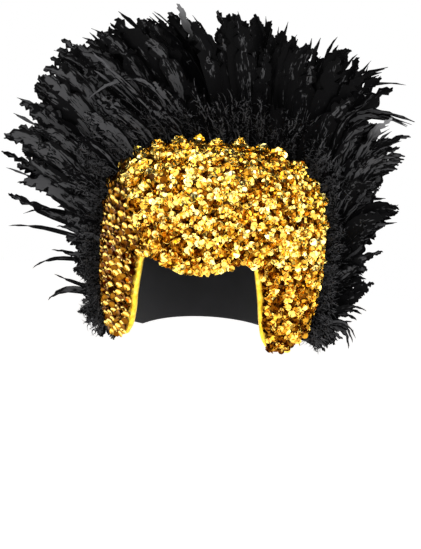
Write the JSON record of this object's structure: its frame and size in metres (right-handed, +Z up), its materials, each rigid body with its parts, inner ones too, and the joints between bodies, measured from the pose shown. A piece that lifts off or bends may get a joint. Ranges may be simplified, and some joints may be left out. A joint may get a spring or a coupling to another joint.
{
  "type": "feather headdress",
  "caption": "Helmet-like carnival headdress with cheek flaps, a gold sequin front, bound face opening, plain cloth back and a tall fan of black feathers from ear to ear over the crown.",
  "frame": {"origin": "the point inside the top of the crown that rests on the head, on the middle plane of the cap", "axes": "+Z up, -Y the way the wearer faces, +X towards the wearer's left, which is the right of the picture"},
  "size_m": [0.4343, 0.22, 0.3476],
  "materials": {
    "shell_felt": "black stiffened felt with a short nap",
    "gold_sequins": "glossy metallised gold sequins",
    "gold_lame": "soft metallic gold lame tape",
    "back_cotton": "plain black woven cotton",
    "downy_feather": "dull dark grey down",
    "black_feather": "black feathers with a soft sheen along the barbs"
  },
  "bodies": {
    "root": {"front_shell": "shell_felt", "sequin_field": "gold_sequins", "face_binding": "gold_lame", "back_shell": "back_cotton", "feather_row_fluff": "downy_feather", "feather_row_front": "black_feather", "feather_row_middle": "black_feather", "feather_row_rear": "black_feather"}
  },
  "joints": []
}
